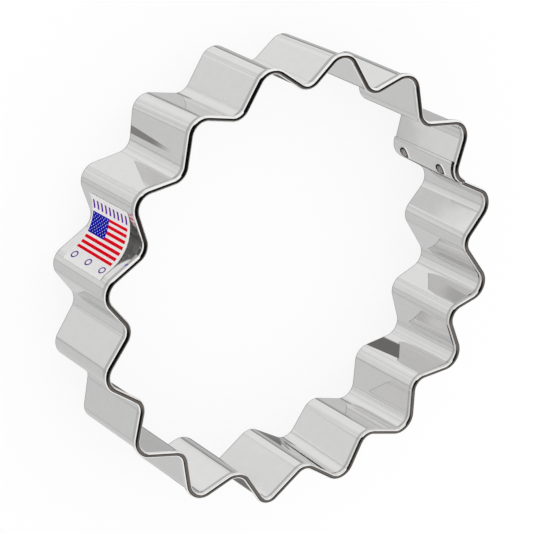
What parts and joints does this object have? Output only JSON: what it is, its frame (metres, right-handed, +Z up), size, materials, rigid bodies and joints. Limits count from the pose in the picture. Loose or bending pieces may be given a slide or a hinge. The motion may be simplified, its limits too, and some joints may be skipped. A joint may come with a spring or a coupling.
{
  "type": "biscuit cutter",
  "caption": "Fluted round biscuit cutter: a tinplate strip with a rolled top edge, bent into a pointed ring, lapped and spot welded, with a paper label.",
  "frame": {"origin": "centre of the ring at the height of the cutting edge, which is the bottom of the part's box", "axes": "+Z up along the ring's axis, from the cutting edge to the rolled edge; +X towards the valley with the lap joint"},
  "size_m": [0.1012, 0.1012, 0.0222],
  "materials": {
    "tinplate": "bright tinplate, glossy, with a faint rolling grain",
    "weld": "grey heat-marked weld face, satin",
    "paper": "white coated label paper, semi-gloss, printed"
  },
  "bodies": {
    "root": {"cutter_band": "tinplate", "spot_welds": "weld", "paper_label": "paper"}
  },
  "joints": []
}
